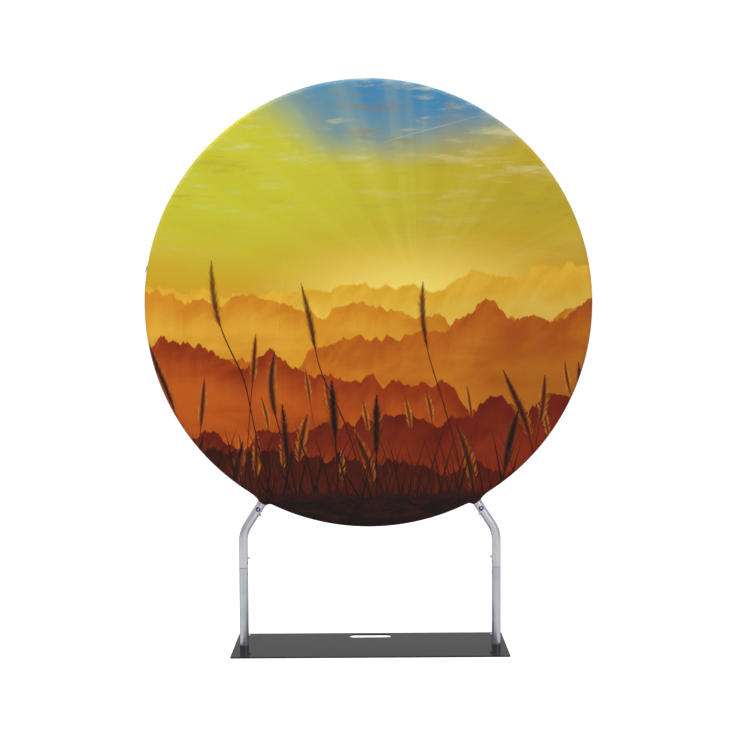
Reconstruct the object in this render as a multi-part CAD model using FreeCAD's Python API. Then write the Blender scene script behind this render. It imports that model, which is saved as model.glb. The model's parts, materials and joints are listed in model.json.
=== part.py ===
import FreeCAD, Part
import math
import os

os.makedirs("parts", exist_ok=True)

# Driving dimensions. Lengths are in millimetres and angles in degrees.

# Base plate
plate_width = 915.0
plate_depth = 305.0
plate_thickness = 4.0
plate_corner_radius = 6.0
plate_edge_bevel = 0.5
slot_length = 148.0
slot_width = 41.0
slot_strip = 20.0  # steel left between the carrying slot and the back edge
leg_inset = 32.5  # from each end of the plate to the axis of its leg

# Tubes and the spigots that join them
tube_diameter = 30.0
tube_wall = 1.2
tube_end_bevel = 0.6
spigot_clearance = 0.1
spigot_wall = 1.6
spigot_lead_in = 1.0

# Legs
lower_leg_length = 264.0
bend_angle = 33.0
bend_radius = 100.0
straight_below_bend = 25.4  # straight tube between the middle coupler and the bend
straight_above_bend = 17.4  # straight tube between the bend and the stub's spigot
leg_coupler_length = 130.0
post_height = 75.0
post_foot = 14.0
base_button_height = 32.0
button_setback = 33.0  # from a joint line to its snap button
rivet_setback = 33.0

# Screws that hold a post on the plate
screw_diameter = 6.0
screw_head_diameter = 12.0
screw_recess = 0.3
screw_engagement = 9.0
screw_spacing = 13.0
screw_clearance = 0.2
screw_thread_clearance = 0.05
socket_diameter = 4.6
socket_depth = 2.0

# Ring that carries the cover
ring_radius = 729.0
ring_segments = 6
first_joint_angle = 30.0
ring_coupler_length = 110.0
stub_spigot_length = 65.0
stub_cope_share = 0.45
weld_gap = 0.1

# Snap buttons and their springs
button_diameter = 8.0
button_projection = 6.5
button_dome = 2.2
button_flange_diameter = 11.5
button_flange_thickness = 1.2
button_clearance = 0.3
spring_width = 8.0
spring_thickness = 0.5
spring_leaf = 22.0
spring_clearance = 0.6

# Rivets that fix a coupler in one of its tubes
rivet_diameter = 4.0
rivet_head_diameter = 8.0
rivet_head_height = 1.2
rivet_tail = 1.5
rivet_clearance = 0.05

# Round assembly labels
label_diameter = 20.0
label_thickness = 0.15
label_gap = 0.02
top_label_setback = 17.0  # from the upper joint to the label's centre
middle_label_room = 0.7  # between a middle label and the hole of the snap button beside it

# Fabric cover
fabric_thickness = 0.8
fabric_gap = 0.3
neck_gap = 0.1  # the elastic neck sits closer on its stub
flare_gap = 0.2  # and the flare between neck and rim is drawn in a little
neck_bare = 7.0  # bare stub between the upper joint and the neck of the cover
neck_length = 8.8  # from the mouth of the neck to the rim
neck_flare_width = 16.0
neck_flare_depth = 3.5  # how far the flare runs on inside the rim
seam_angle = 30.0  # seam and zip lie this far behind the outermost line of the rim

# Zip
zip_top_angle = 170.3
zip_travel_angle = 66.0
zip_end_angle = 1.4
chain_width = 5.5
chain_thickness = 1.6
chain_web_width = 2.0
chain_seat_gap = 0.05
slider_length = 12.0
slider_wall = 0.8
slider_clearance = 0.3
bail_length = 9.0
bail_width = 2.2
bail_bar = 1.4
bail_opening = 2.6
pull_length = 17.0
pull_width = 6.0
pull_thickness = 1.0
pull_bar_diameter = 1.4
pull_window_length = 4.6
pull_window_width = 3.0
pull_lift_angle = 12.0

full_turn = 360.0

# Sizes that follow from the ones above
tube_radius = tube_diameter / 2
tube_bore_radius = tube_radius - tube_wall
spigot_radius = tube_bore_radius - spigot_clearance
spigot_bore_radius = spigot_radius - spigot_wall
leg_x = plate_width / 2 - leg_inset
plate_top = plate_thickness
middle_joint_z = plate_top + lower_leg_length
bend_setback = bend_radius * math.tan(math.radians(bend_angle) / 2)
bend_z = middle_joint_z + leg_coupler_length / 2 + straight_below_bend + bend_setback
upper_leg_reach = bend_setback + straight_above_bend + stub_spigot_length
cover_inner_radius = tube_radius + fabric_gap
cover_radius = cover_inner_radius + fabric_thickness
rim_reach = upper_leg_reach + neck_bare + neck_length
rim_x = leg_x - rim_reach * math.sin(math.radians(bend_angle))
rim_z = bend_z + rim_reach * math.cos(math.radians(bend_angle))
ring_z = rim_z + math.sqrt((ring_radius + cover_radius) ** 2 - rim_x ** 2)
segment_angle = full_turn / ring_segments
button_radius = button_diameter / 2
flange_radius = button_flange_diameter / 2
flange_top = math.sqrt(spigot_bore_radius ** 2 - flange_radius ** 2) - button_clearance
flange_bottom = flange_top - button_flange_thickness
button_tip = tube_radius + button_projection
button_travel = button_tip - spigot_radius + button_clearance
button_hole_radius = button_radius + button_clearance
middle_label_setback = button_setback - button_hole_radius - middle_label_room - label_diameter / 2

V = FreeCAD.Vector
UP = V(0, 0, 1)
BACK = V(0, 1, 0)
FRONT = V(0, -1, 0)
CENTRE = V(0, 0, ring_z)
SIDES = {"left": -1, "right": 1}


def placed(shape, origin, along_x, along_z):
    """Move a shape from its own frame to one with the given origin, x and z directions."""
    x = V(along_x).normalize()
    z = V(along_z).normalize()
    y = z.cross(x)
    matrix = FreeCAD.Matrix(
        x.x, y.x, z.x, origin.x,
        x.y, y.y, z.y, origin.y,
        x.z, y.z, z.z, origin.z,
        0, 0, 0, 1,
    )
    moved = shape.copy()
    moved.Placement = FreeCAD.Placement(matrix).multiply(shape.Placement)
    return moved


def turned(edges):
    """Solid of revolution about z from edges that close a loop in the xz plane."""
    face = Part.Face(Part.Wire(edges))
    solid = face.revolve(V(0, 0, 0), UP, full_turn)
    return solid


def outline(points):
    """Edges of a closed polygon given as (radius, height) pairs."""
    corners = [V(r, 0, z) for r, z in points]
    return [Part.makeLine(a, b) for a, b in zip(corners, corners[1:] + corners[:1])]


def straight_tube(length):
    """Leg tube along z with both outer ends bevelled."""
    return turned(outline([
        (tube_bore_radius, 0),
        (tube_radius - tube_end_bevel, 0),
        (tube_radius, tube_end_bevel),
        (tube_radius, length - tube_end_bevel),
        (tube_radius - tube_end_bevel, length),
        (tube_bore_radius, length),
    ]))


def end_bevel_cutter():
    """Ring that bevels a tube end at z = 0 whose tube lies below it."""
    return turned(outline([
        (tube_radius - tube_end_bevel, 0),
        (tube_radius, -tube_end_bevel),
        (tube_radius + tube_end_bevel, -tube_end_bevel),
        (tube_radius + tube_end_bevel, tube_end_bevel),
        (tube_radius - tube_end_bevel, tube_end_bevel),
    ]))


def spigot(length):
    """Inner tube along z with a lead-in at each end."""
    return turned(outline([
        (spigot_bore_radius, 0),
        (spigot_radius - spigot_lead_in, 0),
        (spigot_radius, spigot_lead_in),
        (spigot_radius, length - spigot_lead_in),
        (spigot_radius - spigot_lead_in, length),
        (spigot_bore_radius, length),
    ]))


def radial(angle):
    """Unit vector from the ring's centre at an angle from +x towards +z."""
    return V(math.cos(math.radians(angle)), 0, math.sin(math.radians(angle)))


def tangent(angle):
    """Unit vector along the ring, in the sense of a growing angle."""
    return V(-math.sin(math.radians(angle)), 0, math.cos(math.radians(angle)))


def arc_angle(length, radius):
    """Angle of an arc of a given length."""
    return math.degrees(length / radius)


def ring_sweep(face, angle):
    """Sweep a face about the ring's axis through a growing angle."""
    return face.revolve(CENTRE, FRONT, angle)


def ring_disc(radius, start, angle):
    """Solid bar bent along the ring."""
    circle = Part.makeCircle(radius, CENTRE + radial(start) * ring_radius, tangent(start))
    return ring_sweep(Part.Face(Part.Wire(circle)), angle)


def ring_tube_part(outer, inner, start, angle):
    """Tube bent along the ring."""
    middle = CENTRE + radial(start) * ring_radius
    outer_wire = Part.Wire(Part.makeCircle(outer, middle, tangent(start)))
    inner_wire = Part.Wire(Part.makeCircle(inner, middle, tangent(start)))
    face = Part.makeFace([outer_wire, inner_wire], "Part::FaceMakerBullseye")
    return ring_sweep(face, angle)


def leg_direction(sign):
    """Direction of a leg above its bend."""
    lean = math.radians(bend_angle)
    return V(-sign * math.sin(lean), 0, math.cos(lean))


def leg_inner_side(sign):
    """Side of a leg above its bend that faces the other leg."""
    lean = math.radians(bend_angle)
    return V(-sign * math.cos(lean), 0, -math.sin(lean))


def upper_joint(sign):
    """Point on the leg's axis where the leg meets the ring's stub."""
    return V(sign * leg_x, 0, bend_z) + leg_direction(sign) * upper_leg_reach


def stub_reach(radius):
    """Distance from the upper joint, along the stub, to a circle about the ring's centre."""
    sign = SIDES["right"]
    offset = upper_joint(sign) - CENTRE
    along = offset.dot(leg_direction(sign))
    return -along - math.sqrt(along ** 2 - offset.dot(offset) + radius ** 2)


class Station:
    """Place of one snap button: a point on the tube's axis, the button's way out, and the spring's way."""

    def __init__(self, name, origin, out, along):
        self.name = name
        self.origin = origin
        self.out = out
        self.along = along

    def put(self, shape):
        return placed(shape, self.origin, self.along, self.out)


def leg_stations(side):
    """Snap buttons at the foot, middle and top of one leg."""
    sign = SIDES[side]
    inward = V(-sign, 0, 0)
    foot = V(sign * leg_x, 0, plate_top + base_button_height)
    middle = V(sign * leg_x, 0, middle_joint_z + button_setback)
    top = upper_joint(sign) - leg_direction(sign) * button_setback
    return {
        "base": Station("base_" + side, foot, inward, UP),
        "middle": Station("middle_" + side, middle, inward, -UP),
        "top": Station("top_" + side, top, leg_inner_side(sign), leg_direction(sign)),
    }


def ring_joint_angle(number):
    """Angle of a ring joint."""
    return first_joint_angle + segment_angle * number


def ring_station(number):
    """Snap button of one ring joint, on the loose half of its coupler."""
    angle = ring_joint_angle(number) + arc_angle(button_setback, ring_radius)
    origin = CENTRE + radial(angle) * ring_radius
    return Station("ring_%d" % (number + 1), origin, -radial(angle), -tangent(angle))


def button_hole():
    """Drill for a snap button, from the tube's axis outwards."""
    return Part.makeCylinder(button_hole_radius, tube_diameter)


def snap_button():
    """Flanged button with a domed end, its axis along z from the tube's axis."""
    shoulder = button_tip - button_dome
    dome_radius = (button_radius ** 2 + button_dome ** 2) / (2 * button_dome)
    half_sweep = math.asin(button_radius / dome_radius) / 2
    middle_r = dome_radius * math.sin(half_sweep)
    middle_z = button_tip - dome_radius * (1 - math.cos(half_sweep))
    points = [
        V(0, 0, flange_bottom),
        V(flange_radius, 0, flange_bottom),
        V(flange_radius, 0, flange_top),
        V(button_radius, 0, flange_top),
        V(button_radius, 0, shoulder),
    ]
    edges = [Part.makeLine(a, b) for a, b in zip(points, points[1:])]
    tip = V(0, 0, button_tip)
    edges.append(Part.Arc(points[-1], V(middle_r, 0, middle_z), tip).toShape())
    edges.append(Part.makeLine(tip, points[0]))
    return turned(edges)


def snap_spring():
    """Strip bent to a U: one leaf carries the button, the other lies along the opposite wall."""
    high = flange_bottom
    low = spring_clearance - math.sqrt(spigot_bore_radius ** 2 - (spring_width / 2) ** 2)
    middle = (high + low) / 2
    bend = (high - low) / 2
    start = -flange_radius
    outer_crown = V(spring_leaf + bend, 0, middle)
    inner_crown = V(spring_leaf + bend - spring_thickness, 0, middle)
    a = V(start, 0, high)
    b = V(spring_leaf, 0, high)
    c = V(spring_leaf, 0, low)
    d = V(start, 0, low)
    e = V(start, 0, low + spring_thickness)
    f = V(spring_leaf, 0, low + spring_thickness)
    g = V(spring_leaf, 0, high - spring_thickness)
    h = V(start, 0, high - spring_thickness)
    edges = [
        Part.makeLine(a, b),
        Part.Arc(b, outer_crown, c).toShape(),
        Part.makeLine(c, d),
        Part.makeLine(d, e),
        Part.makeLine(e, f),
        Part.Arc(f, inner_crown, g).toShape(),
        Part.makeLine(g, h),
        Part.makeLine(h, a),
    ]
    strip = Part.Face(Part.Wire(edges)).extrude(BACK * spring_width)
    strip.translate(FRONT * (spring_width / 2))
    return strip


def rivet():
    """Blind rivet with a low head on the tube, its axis along z from the tube's axis."""
    shank = rivet_diameter / 2
    head = rivet_head_diameter / 2
    seat = tube_radius + rivet_clearance
    crown = seat + rivet_head_height
    return turned(outline([
        (0, spigot_bore_radius - rivet_tail),
        (shank, spigot_bore_radius - rivet_tail),
        (shank, seat),
        (head, seat),
        (shank, crown),
        (0, crown),
    ]))


def rivet_hole():
    """Drill for a rivet, from the tube's axis outwards."""
    return Part.makeCylinder(rivet_diameter / 2 + rivet_clearance, tube_diameter)


def screw_positions():
    """Screw axes: two under each post."""
    return [
        V(sign * leg_x, way * screw_spacing / 2, 0)
        for sign in SIDES.values()
        for way in (-1, 1)
    ]


def countersunk(extra, length):
    """Countersunk screw shape along z, head down, grown by a clearance."""
    head = screw_head_diameter / 2 + extra
    shank = screw_diameter / 2 + extra
    return turned(outline([
        (0, screw_recess),
        (head, screw_recess),
        (shank, screw_recess + head - shank),
        (shank, length),
        (0, length),
    ]))


def base_plate():
    """Flat steel plate with a carrying slot and countersunk holes for the posts."""
    plate = Part.makeBox(
        plate_width, plate_depth, plate_thickness, V(-plate_width / 2, -plate_depth / 2, 0)
    )
    upright = [e for e in plate.Edges if abs(e.tangentAt(e.FirstParameter).z) > math.cos(math.pi / 4)]
    plate = plate.makeFillet(plate_corner_radius, upright)
    top = max(plate.Faces, key=lambda f: f.CenterOfMass.z)
    plate = plate.makeChamfer(plate_edge_bevel, top.Edges)
    slot_y = plate_depth / 2 - slot_strip - slot_width / 2
    slot_half = (slot_length - slot_width) / 2
    slot = Part.makeBox(
        slot_half * 2, slot_width, plate_thickness * 2, V(-slot_half, slot_y - slot_width / 2, -plate_thickness / 2)
    )
    for way in (-1, 1):
        end = Part.makeCylinder(slot_width / 2, plate_thickness * 2, V(way * slot_half, slot_y, -plate_thickness / 2))
        slot = slot.fuse(end)
    plate = plate.cut(slot.removeSplitter())
    bore = screw_head_diameter / 2 + screw_clearance
    for position in screw_positions():
        sink = countersunk(screw_clearance, plate_thickness * 2)
        mouth = Part.makeCylinder(bore, screw_recess * 2, V(0, 0, -screw_recess))
        sink = sink.fuse(mouth)
        sink.translate(position)
        plate = plate.cut(sink)
    return plate


def post_screws():
    """Four countersunk screws with hexagon sockets."""
    screws = []
    for position in screw_positions():
        screw = countersunk(0, plate_thickness + screw_engagement)
        corners = [
            V(
                socket_diameter / 2 * math.cos(math.pi * step / 3),
                socket_diameter / 2 * math.sin(math.pi * step / 3),
                0,
            )
            for step in range(7)
        ]
        socket = Part.Face(Part.makePolygon(corners)).extrude(UP * (screw_recess + socket_depth))
        screw = screw.cut(socket)
        screw.translate(position)
        screws.append(screw)
    return Part.makeCompound(screws)


def base_post(side):
    """Turned post on the plate, bored from the top for its snap button."""
    post = turned(outline([
        (0, 0),
        (spigot_radius, 0),
        (spigot_radius, post_height - spigot_lead_in),
        (spigot_radius - spigot_lead_in, post_height),
        (spigot_bore_radius, post_height),
        (spigot_bore_radius, post_foot),
        (0, post_foot),
    ]))
    post.translate(V(SIDES[side] * leg_x, 0, plate_top))
    post = post.cut(leg_stations(side)["base"].put(button_hole()))
    hole = screw_diameter / 2 + screw_thread_clearance
    for position in screw_positions():
        post = post.cut(Part.makeCylinder(hole, plate_top + screw_engagement + screw_recess, position))
    return post


def lower_leg(side):
    """Straight tube from the plate to the middle joint."""
    tube = straight_tube(lower_leg_length)
    tube.translate(V(SIDES[side] * leg_x, 0, plate_top))
    tube = tube.cut(leg_stations(side)["base"].put(button_hole()))
    return tube.cut(leg_rivet_place(side, rivet_hole()))


def leg_rivet_place(side, shape):
    """Put a rivet or its drill on the back of a lower leg, below the middle joint."""
    origin = V(SIDES[side] * leg_x, 0, middle_joint_z - rivet_setback)
    return placed(shape, origin, UP, BACK)


def leg_coupler(side):
    """Spigot fixed in the lower leg that locks into the upper leg."""
    inner = spigot(leg_coupler_length)
    inner.translate(V(SIDES[side] * leg_x, 0, middle_joint_z - leg_coupler_length / 2))
    inner = inner.cut(leg_stations(side)["middle"].put(button_hole()))
    return inner.cut(leg_rivet_place(side, rivet_hole()))


def leg_path(side):
    """Axis of the upper leg: straight, bent, straight."""
    sign = SIDES[side]
    inward = V(-sign, 0, 0)
    half = math.radians(bend_angle) / 2
    start = V(sign * leg_x, 0, middle_joint_z)
    corner = V(sign * leg_x, 0, bend_z)
    bend_start = corner - UP * bend_setback
    bend_end = corner + leg_direction(sign) * bend_setback
    hub = bend_start + inward * bend_radius
    bend_middle = hub - inward * (bend_radius * math.cos(half)) + UP * (bend_radius * math.sin(half))
    return Part.Wire([
        Part.makeLine(start, bend_start),
        Part.Arc(bend_start, bend_middle, bend_end).toShape(),
        Part.makeLine(bend_end, upper_joint(sign)),
    ])


def upper_leg(side):
    """Bent tube from the middle joint to the ring's stub."""
    sign = SIDES[side]
    start = V(sign * leg_x, 0, middle_joint_z)
    path = leg_path(side)
    solids = []
    for radius in (tube_radius, tube_bore_radius):
        circle = Part.Wire(Part.makeCircle(radius, start, UP))
        solids.append(path.makePipeShell([circle], True, False))
    tube = solids[0].cut(solids[1])
    tube = tube.cut(placed(end_bevel_cutter(), start, BACK, -UP))
    tube = tube.cut(placed(end_bevel_cutter(), upper_joint(sign), BACK, leg_direction(sign)))
    stations = leg_stations(side)
    tube = tube.cut(stations["middle"].put(button_hole()))
    return tube.cut(stations["top"].put(button_hole()))


def ring_stub(side):
    """Socket end welded to the ring: a shoulder the size of the leg tube and a spigot below it."""
    sign = SIDES[side]
    top = stub_reach(ring_radius) - stub_cope_share * tube_radius
    stub = turned(outline([
        (spigot_bore_radius, -stub_spigot_length),
        (spigot_radius - spigot_lead_in, -stub_spigot_length),
        (spigot_radius, spigot_lead_in - stub_spigot_length),
        (spigot_radius, 0),
        (tube_radius - tube_end_bevel, 0),
        (tube_radius, tube_end_bevel),
        (tube_radius, top),
        (spigot_bore_radius, top),
    ]))
    stub = placed(stub, upper_joint(sign), BACK, leg_direction(sign))
    middle = math.degrees(math.atan2(upper_joint(sign).z - ring_z, upper_joint(sign).x))
    half = arc_angle(tube_diameter * 2, ring_radius)
    stub = stub.cut(ring_disc(tube_radius + weld_gap, middle - half, half * 2))
    return stub.cut(leg_stations(side)["top"].put(button_hole()))


def ring_rivet_place(number, shape):
    """Put a rivet or its drill on the fixed half of a ring coupler."""
    angle = ring_joint_angle(number) - arc_angle(rivet_setback, ring_radius)
    return placed(shape, CENTRE + radial(angle) * ring_radius, BACK, -radial(angle))


def ring_tube(number):
    """Arc of the ring from one joint to the next."""
    tube = ring_tube_part(tube_radius, tube_bore_radius, ring_joint_angle(number), segment_angle)
    tube = tube.cut(ring_station(number).put(button_hole()))
    return tube.cut(ring_rivet_place(number + 1, rivet_hole()))


def ring_coupler(number):
    """Curved spigot inside a ring joint."""
    half = arc_angle(ring_coupler_length / 2, ring_radius)
    inner = ring_tube_part(spigot_radius, spigot_bore_radius, ring_joint_angle(number) - half, half * 2)
    inner = inner.cut(ring_station(number).put(button_hole()))
    return inner.cut(ring_rivet_place(number, rivet_hole()))


def coupler_rivets():
    """All rivets: one for each leg coupler and one for each ring coupler."""
    rivets = [leg_rivet_place(side, rivet()) for side in SIDES]
    for number in range(ring_segments):
        rivets.append(ring_rivet_place(number, rivet()))
    return Part.makeCompound(rivets)


def label():
    """Round patch wrapped on a tube that runs along x, facing z."""
    inner = tube_radius + label_gap
    start = V(-label_diameter, 0, 0)
    along = V(1, 0, 0)
    shell = Part.makeCylinder(inner + label_thickness, label_diameter * 2, start, along)
    shell = shell.cut(Part.makeCylinder(inner, label_diameter * 2, start, along))
    return shell.common(Part.makeCylinder(label_diameter / 2, tube_diameter))


def joint_labels():
    """Labels: one in front near each upper joint, two inside each middle joint."""
    labels = []
    for sign in SIDES.values():
        spot = upper_joint(sign) - leg_direction(sign) * top_label_setback
        labels.append(placed(label(), spot, leg_direction(sign), FRONT))
        for way in (-1, 1):
            spot = V(sign * leg_x, 0, middle_joint_z + way * middle_label_setback)
            labels.append(placed(label(), spot, UP, V(-sign, 0, 0)))
    return Part.makeCompound(labels)


def pillow(half_thickness):
    """Round pillow over the ring: two flat faces and a half-round rim."""
    flat = ring_radius
    front_edge = V(flat, 0, -half_thickness)
    back_edge = V(flat, 0, half_thickness)
    crown = V(flat + half_thickness, 0, 0)
    front_middle = V(0, 0, -half_thickness)
    back_middle = V(0, 0, half_thickness)
    solid = turned([
        Part.makeLine(front_middle, front_edge),
        Part.Arc(front_edge, crown, back_edge).toShape(),
        Part.makeLine(back_edge, back_middle),
        Part.makeLine(back_middle, front_middle),
    ])
    return placed(solid, CENTRE, UP, BACK)


def neck(inset, sign, extra):
    """Flared neck over a stub, inset from the outer face of the cover; extra lengthens its mouth."""
    rim_height = neck_bare + neck_length + neck_flare_depth
    flare_height = rim_height - neck_bare
    flare_radius = (neck_flare_width ** 2 + flare_height ** 2) / (2 * flare_height) + inset
    hub_z = rim_height + inset - flare_radius
    neck_radius = tube_radius + neck_gap + fabric_thickness - inset
    spread = tube_radius + neck_gap + fabric_thickness + neck_flare_width
    turn = math.asin((spread - neck_radius) / flare_radius)
    low = V(neck_radius, 0, hub_z + flare_radius * math.cos(turn))
    middle = V(spread - flare_radius * math.sin(turn / 2), 0, hub_z + flare_radius * math.cos(turn / 2))
    top = V(spread, 0, rim_height + inset)
    end_z = stub_reach(ring_radius)
    mouth_z = low.z - extra
    points = [top, V(spread, 0, end_z), V(0, 0, end_z), V(0, 0, mouth_z), V(neck_radius, 0, mouth_z)]
    if extra > 0:
        points.append(low)
    edges = [Part.makeLine(a, b) for a, b in zip(points, points[1:])]
    edges.append(Part.Arc(low, middle, top).toShape())
    flare = placed(turned(edges), upper_joint(sign), BACK, leg_direction(sign))
    half = tube_radius + flare_gap + fabric_thickness - inset
    slab = Part.makeBox(
        ring_radius * 2, half * 2, ring_radius * 2, V(-ring_radius, -half, ring_z - ring_radius * 2)
    )
    return flare.common(slab)


def cover_body(inset, extra):
    """Pillow with both necks, inset from the outer face of the cover."""
    body = pillow(cover_radius - inset)
    for sign in SIDES.values():
        body = body.fuse(neck(inset, sign, extra))
    return body


def cover_panels():
    """Front and back panel of the cover, parted at the seam."""
    shell = cover_body(0, 0).cut(cover_body(fabric_thickness, neck_bare))
    seam_y = cover_radius * math.sin(math.radians(seam_angle))
    reach = ring_radius * 2
    low = V(-reach, -cover_radius * 2, ring_z - reach)
    front_box = Part.makeBox(reach * 2, cover_radius * 2 + seam_y, reach * 2, low)
    back_box = Part.makeBox(reach * 2, cover_radius * 2, reach * 2, V(-reach, seam_y, ring_z - reach))
    return shell.common(front_box), shell.common(back_box)


# Heights of the zip's layers above the centreline of the rim, along the seam's normal
chain_low = cover_radius + slider_clearance * 2 + slider_wall
chain_high = chain_low + chain_thickness
slider_top = chain_high + slider_clearance + slider_wall
pivot_height = slider_top + bail_opening / 2


def rim_normal(angle):
    """Outward direction of the rim at the seam."""
    lean = math.radians(seam_angle)
    return radial(angle) * math.cos(lean) + BACK * math.sin(lean)


def rim_across(angle):
    """Direction across the seam, towards the back."""
    lean = math.radians(seam_angle)
    return BACK * math.cos(lean) - radial(angle) * math.sin(lean)


def rim_point(angle, across, height):
    """Point given across the seam and above the centreline of the rim."""
    return CENTRE + radial(angle) * ring_radius + rim_normal(angle) * height + rim_across(angle) * across


def rim_sweep(points, start, angle):
    """Sweep a section, given as (across, height) pairs, along the rim."""
    corners = [rim_point(start, b, n) for b, n in points]
    face = Part.Face(Part.makePolygon(corners + corners[:1]))
    return ring_sweep(face, angle)


def zip_chain():
    """Coil rail of the concealed zip: a web out of the seam and the closed coil on it."""
    web = chain_web_width / 2
    coil = chain_width / 2
    foot = cover_radius + chain_seat_gap
    section = [
        (-web, foot),
        (web, foot),
        (web, chain_low),
        (coil, chain_low),
        (coil, chain_high),
        (-coil, chain_high),
        (-coil, chain_low),
        (-web, chain_low),
    ]
    return rim_sweep(section, zip_top_angle - zip_end_angle, zip_travel_angle + zip_end_angle * 2)


def zip_slider():
    """Channel that runs on the coil, with a bail on top for the pull."""
    slot = chain_web_width / 2 + slider_clearance
    inside = chain_width / 2 + slider_clearance
    outside = inside + slider_wall
    floor = chain_low - slider_clearance
    section = [
        (slot, floor),
        (inside, floor),
        (inside, chain_high + slider_clearance),
        (-inside, chain_high + slider_clearance),
        (-inside, floor),
        (-slot, floor),
        (-slot, floor - slider_wall),
        (-outside, floor - slider_wall),
        (-outside, slider_top),
        (outside, slider_top),
        (outside, floor - slider_wall),
        (slot, floor - slider_wall),
    ]
    half = arc_angle(slider_length / 2, ring_radius)
    body = rim_sweep(section, zip_top_angle - half, half * 2)
    reach = bail_length / 2
    inner = reach - bail_bar
    base = slider_top - slider_wall / 2
    arch = [
        (-reach, base),
        (-inner, base),
        (-inner, slider_top + bail_opening),
        (inner, slider_top + bail_opening),
        (inner, base),
        (reach, base),
        (reach, slider_top + bail_opening),
        (inner, slider_top + bail_opening + bail_bar),
        (-inner, slider_top + bail_opening + bail_bar),
        (-reach, slider_top + bail_opening),
    ]
    corners = [
        rim_point(zip_top_angle, -bail_width / 2, n) + tangent(zip_top_angle) * t for t, n in arch
    ]
    face = Part.Face(Part.makePolygon(corners + corners[:1]))
    return body.fuse(face.extrude(rim_across(zip_top_angle) * bail_width)).removeSplitter()


def zip_pull():
    """Flat tab with a round bar through the bail, lifted a little off the rim."""
    half = pull_width / 2
    end = pull_length - half
    a = V(0, -half, 0)
    b = V(end, -half, 0)
    c = V(pull_length, 0, 0)
    d = V(end, half, 0)
    e = V(0, half, 0)
    rim = Part.Wire([
        Part.makeLine(a, b),
        Part.Arc(b, c, d).toShape(),
        Part.makeLine(d, e),
        Part.makeLine(e, a),
    ])
    tab = Part.Face(rim).extrude(UP * pull_thickness)
    window_end = pull_bar_diameter / 2 + pull_window_length
    window = Part.makeBox(
        window_end * 2, pull_window_width, pull_thickness * 2,
        V(-window_end, -pull_window_width / 2, -pull_thickness / 2),
    )
    tab = tab.cut(window)
    tab.translate(UP * (-pull_thickness / 2))
    bar = Part.makeCylinder(pull_bar_diameter / 2, pull_width, V(0, -half, 0), BACK)
    tab = tab.fuse(bar).removeSplitter()
    lift = math.radians(pull_lift_angle)
    along = tangent(zip_top_angle) * math.cos(lift) + rim_normal(zip_top_angle) * math.sin(lift)
    pivot = rim_point(zip_top_angle, 0, pivot_height)
    facing = rim_normal(zip_top_angle) * math.cos(lift) - tangent(zip_top_angle) * math.sin(lift)
    return placed(tab, pivot, along, facing)


def save(name, shape):
    """Write one node and say what it holds."""
    shape.exportStep("parts/%s.step" % name)
    print(name, len(shape.Solids), shape.isValid(), round(shape.Volume))


save("base_plate", base_plate())
save("post_screws", post_screws())
for side in SIDES:
    save("base_post_" + side, base_post(side))
    save("lower_leg_" + side, lower_leg(side))
    save("leg_coupler_" + side, leg_coupler(side))
    save("upper_leg_" + side, upper_leg(side))
    save("ring_stub_" + side, ring_stub(side))
    for station in leg_stations(side).values():
        save("snap_button_" + station.name, station.put(snap_button()))
        save("snap_spring_" + station.name, station.put(snap_spring()))
for number in range(ring_segments):
    save("ring_tube_%d" % (number + 1), ring_tube(number))
    save("ring_coupler_%d" % (number + 1), ring_coupler(number))
    station = ring_station(number)
    save("snap_button_" + station.name, station.put(snap_button()))
    save("snap_spring_" + station.name, station.put(snap_spring()))
save("coupler_rivets", coupler_rivets())
save("joint_labels", joint_labels())
front_panel, back_panel = cover_panels()
save("cover_front_panel", front_panel)
save("cover_back_panel", back_panel)
save("zip_chain", zip_chain())
save("zip_slider", zip_slider())
save("zip_pull", zip_pull())
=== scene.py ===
import json
import math

import bmesh
import bpy
from mathutils import Matrix, Vector, noise

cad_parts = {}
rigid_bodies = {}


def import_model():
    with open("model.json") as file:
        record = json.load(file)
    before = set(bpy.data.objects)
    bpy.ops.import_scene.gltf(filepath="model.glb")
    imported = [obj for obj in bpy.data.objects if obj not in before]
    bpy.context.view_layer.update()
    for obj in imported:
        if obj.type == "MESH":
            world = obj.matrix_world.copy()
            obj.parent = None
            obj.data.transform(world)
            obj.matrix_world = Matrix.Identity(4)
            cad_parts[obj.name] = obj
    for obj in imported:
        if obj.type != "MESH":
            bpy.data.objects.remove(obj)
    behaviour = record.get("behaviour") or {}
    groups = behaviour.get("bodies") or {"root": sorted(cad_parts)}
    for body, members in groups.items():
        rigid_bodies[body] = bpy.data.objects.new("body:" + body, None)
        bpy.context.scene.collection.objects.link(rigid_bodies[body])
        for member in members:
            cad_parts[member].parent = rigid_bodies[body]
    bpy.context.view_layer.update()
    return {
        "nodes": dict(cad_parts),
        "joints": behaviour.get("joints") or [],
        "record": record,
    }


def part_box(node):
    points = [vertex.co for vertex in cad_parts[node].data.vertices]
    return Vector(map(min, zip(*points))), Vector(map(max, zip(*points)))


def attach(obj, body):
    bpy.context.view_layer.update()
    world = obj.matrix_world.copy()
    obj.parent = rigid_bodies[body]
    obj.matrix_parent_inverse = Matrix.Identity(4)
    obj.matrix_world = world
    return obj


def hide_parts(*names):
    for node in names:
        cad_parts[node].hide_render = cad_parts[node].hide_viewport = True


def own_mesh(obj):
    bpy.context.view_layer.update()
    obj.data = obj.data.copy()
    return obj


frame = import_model()
nodes = frame["nodes"]

# Round banner display: a printed cover stretched on a ring of tube, on two legs and a steel plate

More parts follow.
